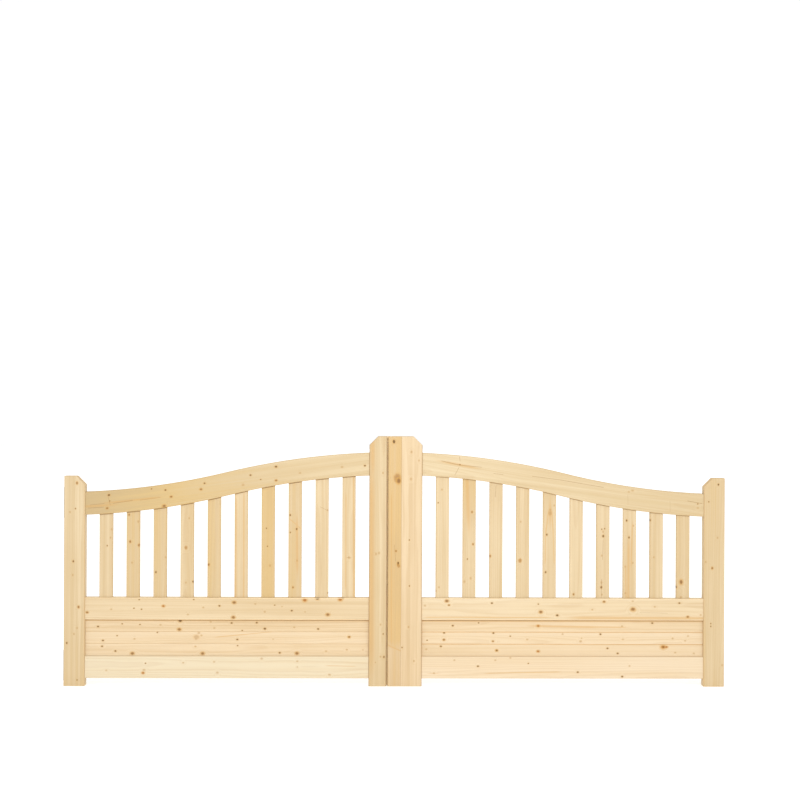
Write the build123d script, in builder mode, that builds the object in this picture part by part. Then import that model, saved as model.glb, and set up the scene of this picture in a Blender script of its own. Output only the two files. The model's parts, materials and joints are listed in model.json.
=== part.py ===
from build123d import *
from math import atan2, cos, degrees, radians, sin
import os

# A pair of side-hung driveway gate leaves in planed softwood.
# Each leaf has two stiles, a swan-neck top rail over ten balusters,
# and a boarded panel between a middle and a bottom rail.
# Millimetres. +X runs along the gate, +Y runs in behind it, +Z is up.
# The origin is on the wall side of the lower left pintle plate, at the plate's centre.

# Overall gate
overall_width = 3000
stile_width = 95
stile_thickness = 45
hanging_stile_height = 950
meeting_stile_height = 1135
corner_cut = 40
arris = 3

# Rails
rail_thickness = 40
bottom_rail_lift = 35
bottom_rail_height = 100
panel_height = 165
middle_rail_height = 100
top_rail_depth = 104
top_rail_low_height = 826
top_rail_rise = 182
top_rail_end_angle = 2.3

# Balusters
baluster_count = 10
baluster_width = 60
baluster_thickness = 22
baluster_arris = 2
baluster_seat_gap = 0.3

# Panel boards
board_count = 3
board_thickness = 16
board_setback = 14
board_joint_chamfer = 2
tongue_thickness = 5
tongue_length = 6
tongue_clearance = 0.3

# Meeting of the two leaves
strip_width = 60
lip_width = 15
lip_thickness = 15
meeting_gap = 6

# Strap hinges and their pintles
strap_length = 300
strap_height = 40
strap_thickness = 5
strap_tip_height = 22
strap_taper_length = 200
pin_radius = 7
pin_clearance = 0.1
pin_overrun = 6
pin_lead = 1.5
collar_radius = 9.5
collar_height = 4
eye_seat_gap = 0.3
arm_thickness = 14
wall_gap = 12
pin_from_wall = 20
plate_width = 60
plate_height = 140
plate_thickness = 5
plate_corner_radius = 4
plate_behind_leaf = 5
plate_hole_radius = 4.5
plate_hole_spacing_y = 36
plate_hole_spacing_z = 110

# Places along the gate
gate_left = wall_gap
middle_x = gate_left + overall_width / 2
frame_gap = strip_width - lip_width + meeting_gap
meeting_stile_right = middle_x - frame_gap / 2
meeting_stile_left = meeting_stile_right - stile_width
hanging_stile_right = gate_left + stile_width
opening_width = meeting_stile_left - hanging_stile_right
opening_middle = (meeting_stile_left + hanging_stile_right) / 2
middle_plane = Plane.YZ.offset(middle_x)

# Places in depth, from the front of the stiles to the back of the plates
plate_front_y = -plate_width / 2
back_y = plate_front_y - plate_behind_leaf
front_y = back_y - stile_thickness
eye_radius = pin_radius + pin_clearance + strap_thickness
pin_y = back_y + eye_radius
baluster_back_y = back_y - (rail_thickness - baluster_thickness) / 2
board_back_y = front_y + board_setback + board_thickness

# Heights
lower_hinge_height = bottom_rail_lift + bottom_rail_height / 2
ground_z = -lower_hinge_height
bottom_rail_top = ground_z + bottom_rail_lift + bottom_rail_height
middle_rail_bottom = bottom_rail_top + panel_height
middle_rail_top = middle_rail_bottom + middle_rail_height
top_rail_low_z = ground_z + top_rail_low_height
upper_hinge_z = top_rail_low_z

# The swan neck is two equal arcs that meet at the middle of the opening
chord_angle = degrees(atan2(top_rail_rise, opening_width))
turn_angle = 2 * (chord_angle - top_rail_end_angle)
steepest_angle = top_rail_end_angle + turn_angle
swan_radius = (opening_width / 2) / (sin(radians(steepest_angle)) - sin(radians(top_rail_end_angle)))
rail_overrun = top_rail_depth


def swan_line(rise):
    """The top rail's run at a distance above its middle line, with a straight lead at each end."""
    lean = radians(top_rail_end_angle)
    along = Vector(cos(lean), sin(lean))
    across = Vector(-sin(lean), cos(lean))
    start = Vector(hanging_stile_right, top_rail_low_z) + across * rise
    Line(start - along * rail_overrun, start)
    lower = JernArc(start, along, swan_radius - rise, turn_angle)
    upper = JernArc(lower @ 1, lower % 1, swan_radius + rise, -turn_angle)
    Line(upper @ 1, (upper @ 1) + (upper % 1) * rail_overrun)


def swan_ends(rise):
    """The two outer ends of swan_line at the same distance."""
    with BuildLine() as run:
        swan_line(rise)
    ordered = run.vertices().sort_by(Axis.X)
    return (ordered[0].X, ordered[0].Y), (ordered[-1].X, ordered[-1].Y)


def keep(part, name):
    """Labels a finished piece and writes it."""
    part.label = name
    export_step(part, f"parts/{name}.step")


def keep_pair(part, name):
    """Writes a left-hand piece and its mirror image on the right."""
    keep(part, f"left_{name}")
    with BuildPart() as other_hand:
        mirror(part, about=middle_plane)
    keep(other_hand.part, f"right_{name}")


def long_arrises(part):
    """The upright outer edges of a stile."""
    return part.edges().filter_by(Axis.Z)


os.makedirs("parts", exist_ok=True)

# Hanging stile: its inner top corner is cut off at 45 degrees
with BuildPart() as hanging_stile:
    with BuildSketch(Plane.XZ.offset(-back_y)):
        with BuildLine():
            Polyline(
                (gate_left, ground_z),
                (hanging_stile_right, ground_z),
                (hanging_stile_right, ground_z + hanging_stile_height - corner_cut),
                (hanging_stile_right - corner_cut, ground_z + hanging_stile_height),
                (gate_left, ground_z + hanging_stile_height),
                close=True,
            )
        make_face()
    extrude(amount=stile_thickness)
    chamfer(long_arrises(hanging_stile), length=arris)
keep_pair(hanging_stile.part, "hanging_stile")

# Meeting stile: the panel-side top corner is cut off
with BuildPart() as meeting_stile:
    with BuildSketch(Plane.XZ.offset(-back_y)):
        with BuildLine():
            Polyline(
                (meeting_stile_left, ground_z),
                (meeting_stile_right, ground_z),
                (meeting_stile_right, ground_z + meeting_stile_height),
                (meeting_stile_left + corner_cut, ground_z + meeting_stile_height),
                (meeting_stile_left, ground_z + meeting_stile_height - corner_cut),
                close=True,
            )
        make_face()
    extrude(amount=stile_thickness)
    chamfer(long_arrises(meeting_stile).group_by(Axis.X)[0], length=arris)

with BuildPart() as right_meeting_stile:
    mirror(meeting_stile.part, about=middle_plane)
keep(right_meeting_stile.part, "right_meeting_stile")

# The left meeting stile is rebated at the front for the lip of the closing strip
rebate_left = meeting_stile_right - lip_width
rebate_depth = lip_thickness + meeting_gap
with BuildPart() as left_meeting_stile:
    add(meeting_stile.part)
    with BuildSketch(Plane.XY.offset(ground_z)):
        with Locations((rebate_left, front_y)):
            Rectangle(lip_width, rebate_depth, align=(Align.MIN, Align.MIN))
    extrude(amount=meeting_stile_height, mode=Mode.SUBTRACT)
    front_corner = left_meeting_stile.edges().filter_by(Axis.Z).group_by(Axis.Y)[0]
    chamfer(front_corner.sort_by(Axis.X)[-1], length=arris)
keep(left_meeting_stile.part, "left_meeting_stile")

# Closing strip: fixed to the edge of the right meeting stile, its lip covers the joint
strip_right = middle_x + frame_gap / 2
strip_left = strip_right - strip_width
with BuildPart() as closing_strip:
    with BuildSketch(Plane.XY.offset(ground_z)):
        with BuildLine():
            Polyline(
                (strip_left, front_y),
                (strip_right, front_y),
                (strip_right, back_y),
                (strip_left + lip_width, back_y),
                (strip_left + lip_width, front_y + lip_thickness),
                (strip_left, front_y + lip_thickness),
                close=True,
            )
        make_face()
    extrude(amount=meeting_stile_height)
    lip_corner = closing_strip.edges().filter_by(Axis.Z).group_by(Axis.X)[0]
    chamfer(lip_corner.sort_by(Axis.Y)[0], length=arris)
keep(closing_strip.part, "right_closing_strip")


def straight_rail(bottom, height):
    """A level rail between the stiles, with eased long edges."""
    with BuildPart() as rail:
        with BuildSketch(Plane.XZ.offset(-back_y)):
            with Locations((opening_middle, bottom + height / 2)):
                Rectangle(opening_width, height)
        extrude(amount=rail_thickness)
        chamfer(rail.edges().filter_by(Axis.X).group_by(Axis.Y)[0], length=arris)
    return rail.part


keep_pair(straight_rail(ground_z + bottom_rail_lift, bottom_rail_height), "bottom_rail")
keep_pair(straight_rail(middle_rail_bottom, middle_rail_height), "middle_rail")

# Top rail: a band of even depth along the swan neck, cut off at the stiles
with BuildPart() as top_rail:
    with BuildSketch(Plane.XZ.offset(-back_y)):
        with BuildLine():
            swan_line(top_rail_depth / 2)
            swan_line(-top_rail_depth / 2)
            for upper_end, lower_end in zip(swan_ends(top_rail_depth / 2), swan_ends(-top_rail_depth / 2)):
                Line(upper_end, lower_end)
        make_face()
        with Locations((opening_middle, top_rail_low_z)):
            Rectangle(opening_width, meeting_stile_height, mode=Mode.INTERSECT)
    extrude(amount=rail_thickness)
    front_edges = top_rail.edges().group_by(Axis.Y)[0].filter_by(GeomType.CIRCLE)
    chamfer(front_edges, length=arris)
keep_pair(top_rail.part, "top_rail")

# Balusters: evenly spaced, each top cut to the underside of the swan neck
baluster_gap = (opening_width - baluster_count * baluster_width) / (baluster_count + 1)
baluster_pitch = baluster_width + baluster_gap
for number in range(baluster_count):
    centre_x = hanging_stile_right + baluster_gap + baluster_width / 2 + number * baluster_pitch
    with BuildPart() as baluster:
        with BuildSketch(Plane.XZ.offset(-baluster_back_y)):
            with BuildLine():
                seat = -top_rail_depth / 2 - baluster_seat_gap
                swan_line(seat)
                low_end, high_end = swan_ends(seat)
                Polyline(low_end, (low_end[0], ground_z), (high_end[0], ground_z), high_end)
            make_face()
            with Locations((centre_x, middle_rail_top)):
                Rectangle(
                    baluster_width,
                    meeting_stile_height,
                    align=(Align.CENTER, Align.MIN),
                    mode=Mode.INTERSECT,
                )
        extrude(amount=baluster_thickness)
        chamfer(baluster.edges().filter_by(Axis.Z), length=baluster_arris)
    keep_pair(baluster.part, f"baluster_{number + 1:02d}")

# Panel boards: tongued and grooved, with a vee at each joint on the front;
# the lowest board stands square on the bottom rail
board_height = panel_height / board_count
board_front_y = board_back_y - board_thickness
board_middle_y = board_back_y - board_thickness / 2
for number in range(board_count):
    board_bottom = bottom_rail_top + number * board_height
    is_lowest = number == 0
    is_highest = number == board_count - 1
    with BuildPart() as board:
        with BuildSketch(Plane.YZ.offset(hanging_stile_right)):
            with Locations((board_middle_y, board_bottom + board_height / 2)):
                Rectangle(board_thickness, board_height)
            if not is_lowest:
                with Locations((board_middle_y, board_bottom)):
                    Rectangle(
                        tongue_thickness + 2 * tongue_clearance,
                        tongue_length + tongue_clearance,
                        align=(Align.CENTER, Align.MIN),
                        mode=Mode.SUBTRACT,
                    )
            if not is_highest:
                with Locations((board_middle_y, board_bottom + board_height)):
                    Rectangle(tongue_thickness, tongue_length, align=(Align.CENTER, Align.MIN))
        extrude(amount=opening_width)
        front_edges = board.edges().filter_by(Axis.X).group_by(Axis.Y)[0].sort_by(Axis.Z)
        if is_lowest:
            front_edges = front_edges[-1:]
        chamfer(front_edges, length=board_joint_chamfer)
    keep_pair(board.part, f"panel_board_{number + 1}")


def strap_hinge(height):
    """A flat strap on the back of the leaf, rolled into an eye round the pin."""
    tip_x = pin_from_wall + strap_length
    taper_x = tip_x - strap_taper_length
    with BuildPart() as strap:
        with BuildSketch(Plane.XZ.offset(-(back_y + strap_thickness))):
            with BuildLine():
                Polyline(
                    (pin_from_wall, height + strap_height / 2),
                    (pin_from_wall, height - strap_height / 2),
                    (taper_x, height - strap_height / 2),
                    (tip_x, height - strap_tip_height / 2),
                )
                RadiusArc(
                    (tip_x, height - strap_tip_height / 2),
                    (tip_x, height + strap_tip_height / 2),
                    -strap_tip_height / 2,
                )
                Polyline(
                    (tip_x, height + strap_tip_height / 2),
                    (taper_x, height + strap_height / 2),
                    (pin_from_wall, height + strap_height / 2),
                )
            make_face()
        extrude(amount=strap_thickness)
        with BuildSketch(Plane.XY.offset(height - strap_height / 2)):
            with Locations((pin_from_wall, pin_y)):
                Circle(eye_radius)
        extrude(amount=strap_height)
        with BuildSketch(Plane.XY.offset(height - strap_height / 2)):
            with Locations((pin_from_wall, pin_y)):
                Circle(pin_radius + pin_clearance)
        extrude(amount=strap_height, mode=Mode.SUBTRACT)
    return strap.part


def pintle(height):
    """A wall plate with an arm that carries the upright pin and its collar."""
    pin_bottom = height - strap_height / 2 - eye_seat_gap - collar_height - arm_thickness
    pin_top = height + strap_height / 2 + pin_overrun
    with BuildPart() as hook:
        with BuildSketch(Plane.YZ):
            with Locations((0, height)):
                RectangleRounded(plate_width, plate_height, plate_corner_radius)
        extrude(amount=plate_thickness)
        with BuildSketch(Plane.YZ):
            with Locations((0, height)):
                with GridLocations(plate_hole_spacing_y, plate_hole_spacing_z, 2, 2):
                    Circle(plate_hole_radius)
        extrude(amount=plate_thickness, mode=Mode.SUBTRACT)
        with BuildSketch(Plane.XY.offset(pin_bottom)):
            with Locations((pin_from_wall, pin_y)):
                Circle(pin_radius)
            with Locations((0, pin_y)):
                Rectangle(pin_from_wall, 2 * pin_radius, align=(Align.MIN, Align.CENTER))
        extrude(amount=arm_thickness)
        with BuildSketch(Plane.XY.offset(pin_bottom + arm_thickness)):
            with Locations((pin_from_wall, pin_y)):
                Circle(collar_radius)
        extrude(amount=collar_height)
        with BuildSketch(Plane.XY.offset(pin_bottom)):
            with Locations((pin_from_wall, pin_y)):
                Circle(pin_radius)
        extrude(amount=pin_top - pin_bottom)
        pin_rim = hook.edges().filter_by(GeomType.CIRCLE).sort_by(lambda e: abs(e.center().Z - pin_top))[0]
        chamfer(pin_rim, length=pin_lead)
    return hook.part


for level, hinge_z in (("lower", 0), ("upper", upper_hinge_z)):
    keep_pair(strap_hinge(hinge_z), f"{level}_strap_hinge")
    keep_pair(pintle(hinge_z), f"{level}_pintle")
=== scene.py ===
"""Dresses a pair of planed softwood driveway gate leaves and sets up a plain white studio."""

import json
import math
import random

import bpy
from bpy.props import FloatProperty, FloatVectorProperty, PointerProperty
from bpy.types import Operator, Panel, PropertyGroup
from mathutils import Euler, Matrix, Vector


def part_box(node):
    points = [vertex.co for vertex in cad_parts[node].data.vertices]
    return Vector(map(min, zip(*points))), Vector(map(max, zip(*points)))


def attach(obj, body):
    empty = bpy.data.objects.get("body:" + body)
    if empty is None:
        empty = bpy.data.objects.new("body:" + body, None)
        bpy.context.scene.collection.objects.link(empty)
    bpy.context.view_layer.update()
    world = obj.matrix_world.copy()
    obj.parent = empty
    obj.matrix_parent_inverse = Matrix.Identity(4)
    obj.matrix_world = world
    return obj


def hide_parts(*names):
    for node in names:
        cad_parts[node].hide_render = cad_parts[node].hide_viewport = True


bl_info = {
    "name": "Driveway Gate Dressing",
    "version": (1, 0, 0),
    "blender": (4, 5, 0),
    "location": "View3D > Sidebar > Gate",
    "description": "Timber and ironmongery finishes for a pair of driveway gate leaves",
    "category": "Object",
}

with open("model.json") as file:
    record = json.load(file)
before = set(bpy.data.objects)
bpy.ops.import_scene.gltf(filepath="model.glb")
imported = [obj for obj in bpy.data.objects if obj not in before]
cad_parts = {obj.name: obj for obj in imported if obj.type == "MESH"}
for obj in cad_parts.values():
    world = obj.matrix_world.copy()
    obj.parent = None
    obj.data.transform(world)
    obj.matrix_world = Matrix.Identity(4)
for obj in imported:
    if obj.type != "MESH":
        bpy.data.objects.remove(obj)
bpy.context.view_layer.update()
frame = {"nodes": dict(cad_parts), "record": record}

# The picture's width in pixels, and the camera's sensor in millimetres
PICTURE_WIDTH = 800.0
SENSOR_WIDTH = 36.0

# The gate's own places, in metres
GATE_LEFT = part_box("left_hanging_stile")[0].x
GATE_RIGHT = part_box("right_hanging_stile")[1].x
GATE_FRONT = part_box("left_hanging_stile")[0].y
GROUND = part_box("left_meeting_stile")[0].z
MIDDLE_X = (GATE_LEFT + GATE_RIGHT) / 2

# Knot radii, in metres
DOT = 0.0026
PIN = 0.0037
SMALL = 0.0046
MEDIUM = 0.0064
BROAD = 0.0078
LARGE = 0.0095

# Knots that show in the picture, by piece and kind: pixel across, pixel down, radius
DARK = "dark"
BROWN = "brown"
ROUND = "round"
ORANGE = "orange"
FAINT = "faint"
KNOTS = {
    "left_hanging_stile": {
        DARK: ((73.3, 561.3, PIN), (75.5, 508.6, DOT), (66.8, 643, PIN), (77, 680, DOT)),
        BROWN: ((77, 483, SMALL), (78.6, 607, SMALL)),
        FAINT: ((70, 512, PIN), (72.7, 575, PIN), (74, 634, PIN), (77, 628, PIN)),
    },
    "left_top_rail": {
        DARK: (
            (108.7, 495.2, SMALL), (109.5, 501, DOT), (151.3, 489, DOT), (165.3, 490.1, PIN),
            (204.4, 483.3, PIN), (250.4, 475.2, PIN), (260.6, 479.5, DOT), (276, 466.7, SMALL),
            (364.9, 465.7, PIN),
        ),
        BROWN: (
            (107, 508.3, SMALL), (171, 496.8, SMALL), (164, 506, MEDIUM), (200.8, 489.4, SMALL),
            (276, 480.5, SMALL),
        ),
        FAINT: ((243, 485, SMALL), (342, 467, SMALL), (300, 473, PIN)),
    },
    "left_middle_rail": {
        DARK: (
            (133.7, 608.4, DOT), (141.3, 609.4, DOT), (139, 599.8, DOT), (193.6, 599.7, DOT),
            (219.3, 606, PIN), (291.6, 610.8, PIN), (317.4, 598.6, MEDIUM), (343, 598.2, PIN),
            (274.6, 605.3, DOT),
        ),
        BROWN: ((86.9, 612.6, SMALL), (234, 602.6, MEDIUM), (233.2, 617.6, MEDIUM), (327.7, 614.8, MEDIUM)),
        ORANGE: ((163.2, 606.2, SMALL), (304.7, 600.3, MEDIUM), (340.2, 599.6, MEDIUM)),
        FAINT: (
            (111, 609.4, PIN), (187.7, 614.7, PIN), (203.1, 607.6, PIN), (255.2, 604.1, PIN),
            (281.9, 606.8, DOT), (264.6, 612, PIN), (305, 612, DOT),
        ),
    },
    "left_panel_board_3": {
        DARK: (
            (97.4, 627, PIN), (139.4, 625, DOT), (179.8, 621.2, MEDIUM), (231.3, 623.5, PIN),
            (241.9, 631, DOT), (256.5, 623.2, PIN), (264.6, 629.2, SMALL), (318, 629.5, PIN),
            (121.6, 624.3, DOT),
        ),
        BROWN: ((178.8, 630, MEDIUM),),
        FAINT: ((160, 625.3, PIN), (210.4, 622.4, PIN), (214, 628.6, PIN), (294, 627.8, PIN)),
    },
    "left_panel_board_2": {
        DARK: (
            (102.3, 641, PIN), (156.8, 633, DOT), (237, 640, PIN), (349.1, 637.4, DOT), (116.5, 636.2, DOT),
        ),
        BROWN: ((349.1, 637.6, SMALL),),
        FAINT: (
            (195.6, 639.3, SMALL), (133.9, 639.3, PIN), (198.4, 633.4, SMALL), (201, 636, PIN),
            (272.9, 639.7, DOT), (196, 637.5, LARGE),
        ),
    },
    "left_panel_board_1": {
        DARK: ((101.4, 646.8, PIN), (114.8, 651.6, PIN), (237.3, 646.2, DOT), (279.5, 653.4, PIN)),
        BROWN: ((131.8, 654, MEDIUM), (202.2, 654, MEDIUM), (296.7, 653.9, MEDIUM)),
        FAINT: ((195, 647, PIN), (325.9, 651.7, PIN), (346.7, 650.2, PIN), (362.9, 650.5, DOT)),
    },
    "left_bottom_rail": {
        DARK: ((145.3, 663.5, DOT),),
        ORANGE: ((142.8, 673.2, SMALL),),
        FAINT: (
            (143.8, 670.2, SMALL), (217.2, 672.9, SMALL), (106, 670.6, PIN), (183, 663, PIN),
            (214, 662, PIN), (261.6, 658.8, SMALL), (297.2, 661.4, PIN), (297.2, 667.2, DOT),
            (329.4, 674.9, SMALL),
        ),
    },
    "left_meeting_stile": {
        DARK: ((383.2, 634, DOT), (383.9, 657, PIN)),
        FAINT: (
            (375.4, 662.4, DOT), (380.5, 624.6, PIN), (380.5, 656.7, PIN), (379, 553, SMALL),
            (376, 554, SMALL), (383, 473, PIN),
        ),
    },
    "right_closing_strip": {
        DARK: ((394, 441.6, MEDIUM), (398.2, 563, SMALL)),
        BROWN: ((398.0, 564.5, SMALL), (396, 551, PIN), (398.8, 480.8, LARGE)),
        ROUND: ((397.4, 478.0, 0.0165), (398.6, 566, MEDIUM)),
    },
    "right_meeting_stile": {
        DARK: ((409.4, 540, DOT), (402, 647.5, DOT), (409.4, 586, DOT)),
        FAINT: (
            (411.5, 452, SMALL), (419, 460.5, PIN), (411, 479, SMALL), (408.6, 627, PIN), (413.9, 661, PIN),
        ),
    },
    "right_top_rail": {
        DARK: ((460, 464.8, DOT), (698, 504, DOT)),
        FAINT: ((632.7, 490.6, SMALL), (629, 492, PIN), (698, 508, PIN)),
    },
    "right_middle_rail": {
        DARK: ((492, 603.3, PIN), (557.4, 615.5, SMALL), (679.6, 603.3, PIN), (538.5, 604.3, DOT)),
        BROWN: (
            (446.9, 601.2, MEDIUM), (449, 605.3, PIN), (540.8, 612.2, MEDIUM), (604.3, 601.9, SMALL),
            (633.2, 609.5, BROAD), (688, 617, SMALL),
        ),
        FAINT: (
            (425, 605.8, PIN), (592.5, 609.8, PIN), (632.9, 601.4, PIN), (655, 607, PIN), (701, 615.2, PIN),
        ),
    },
    "right_panel_board_3": {
        DARK: ((452.9, 626.2, PIN), (478.8, 623.4, DOT), (652.9, 623.6, PIN)),
        ORANGE: ((538.5, 626.4, SMALL),),
        FAINT: ((622.6, 626.7, PIN),),
    },
    "right_panel_board_2": {
        DARK: (
            (444.2, 633.4, PIN), (493.6, 633.6, PIN), (427.2, 640.8, DOT), (510.5, 636.7, DOT),
            (600.9, 634.8, PIN),
        ),
        BROWN: ((493.2, 641.8, PIN), (444, 640.3, SMALL)),
        FAINT: (
            (527.6, 640, PIN), (563, 634.7, PIN), (673.3, 639, PIN), (688.7, 636.6, PIN),
            (685.8, 641.3, PIN), (623.4, 639.9, PIN), (581, 642, SMALL), (582, 638.8, DOT),
        ),
    },
    "right_panel_board_1": {
        DARK: (
            (441, 646.8, PIN), (608, 648.9, PIN), (618.2, 654, PIN), (663.8, 647.6, PIN), (497, 651, PIN),
        ),
        BROWN: ((496.9, 651, SMALL),),
        ORANGE: ((538.5, 651.9, SMALL), (663.9, 647.6, BROAD), (667, 647.6, SMALL)),
        FAINT: ((426.3, 649.8, PIN), (675.8, 653.2, PIN), (694.5, 654, PIN)),
    },
    "right_bottom_rail": {
        DARK: ((478, 666.5, PIN), (528.4, 663.7, DOT), (577.9, 672.4, PIN), (622.4, 676.8, PIN)),
        FAINT: (
            (434, 673.5, PIN), (454.4, 660.4, PIN), (495.4, 660.4, PIN), (510.5, 658, PIN),
            (629.7, 666.2, PIN),
        ),
    },
    "right_hanging_stile": {
        DARK: ((718.4, 484.6, PIN), (708.8, 501.8, DOT), (710.8, 623.6, DOT), (710.8, 626.4, DOT)),
        BROWN: ((712.2, 568.2, SMALL),),
        FAINT: ((717.5, 537.8, PIN), (705.8, 562, PIN), (722, 665.2, PIN)),
    },
    "left_baluster_01": {FAINT: ((111, 529.5, PIN), (110, 538, PIN)), DARK: ((106.6, 546, DOT),)},
    "left_baluster_02": {
        BROWN: ((129.6, 541.9, SMALL), (138.4, 545.5, SMALL), (128.6, 515, PIN)),
        FAINT: ((137.8, 521.8, SMALL), (131.4, 563, PIN)),
    },
    "left_baluster_03": {DARK: ((155.4, 572.6, PIN),), FAINT: ((165, 557.6, PIN),)},
    "left_baluster_04": {
        DARK: ((192.6, 582, PIN),),
        ROUND: ((185.5, 548, MEDIUM),),
        FAINT: ((188.8, 518.5, PIN), (185.5, 583, PIN)),
    },
    "left_baluster_05": {BROWN: ((208.3, 565, SMALL),)},
    "left_baluster_07": {DARK: ((266.2, 528.6, DOT), (267.2, 546.6, DOT)), FAINT: ((269.7, 566, SMALL),)},
    "left_baluster_08": {
        DARK: ((290, 515.3, PIN), (296.5, 529.3, PIN), (290.2, 532.7, DOT)),
        BROWN: ((292.8, 587.7, PIN),),
        FAINT: ((296.8, 561, PIN),),
    },
    "left_baluster_09": {DARK: ((327.9, 593.3, DOT),), FAINT: ((327.5, 510.2, PIN),)},
    "left_baluster_10": {FAINT: ((349, 558, SMALL),)},
    "right_baluster_10": {
        DARK: ((438.3, 503, DOT),),
        FAINT: ((442, 489.8, PIN), (439, 587.7, PIN), (436.2, 591.3, PIN)),
    },
    "right_baluster_09": {
        BROWN: ((472.2, 512.3, PIN), (473.3, 544.5, PIN)),
        DARK: ((467.6, 559.4, DOT),),
        FAINT: ((470.9, 578.7, SMALL), (464.6, 582, SMALL)),
    },
    "right_baluster_08": {BROWN: ((490.2, 556.5, SMALL),)},
    "right_baluster_07": {ROUND: ((520.4, 561, BROAD),), FAINT: ((521, 522, PIN),)},
    "right_baluster_06": {
        DARK: ((547.2, 535, PIN), (546, 572.6, PIN)),
        FAINT: ((554.6, 505.8, PIN), (550.5, 510.2, SMALL), (550.5, 513.4, BROAD)),
    },
    "right_baluster_05": {BROWN: ((574, 594.8, PIN),)},
    "right_baluster_04": {
        DARK: ((603.7, 536.4, SMALL), (601.8, 587.7, SMALL), (602.3, 529.6, DOT), (605.2, 529.0, DOT)),
        FAINT: ((602.3, 556, PIN), (603.6, 532, SMALL), (602, 583, SMALL), (602.4, 595, PIN)),
    },
    "right_baluster_03": {
        DARK: ((629.6, 537.8, PIN), (627.2, 520.8, PIN)),
        FAINT: ((634, 526, PIN), (633.4, 563.3, PIN), (625.8, 567, PIN), (625.8, 593.6, PIN)),
    },
    "right_baluster_02": {DARK: ((650.8, 520.4, PIN),), FAINT: ((654.4, 557.6, PIN),)},
    "right_baluster_01": {
        DARK: ((677, 515, PIN), (676.8, 587.5, SMALL)),
        BROWN: ((681.8, 582.5, BROAD),),
        FAINT: ((681.5, 598, SMALL),),
    },
}

# Kinds of streak: resin, and drying cracks; each kind also draws the painted shadow line under the middle
# rails
RESIN_AND_SHADOW = "resin"
CRACK_AND_SHADOW = "crack"
# How fast each fades beyond its ends, against its sides
END_TAPER = {RESIN_AND_SHADOW: 0.10, CRACK_AND_SHADOW: 0.4}
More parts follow.
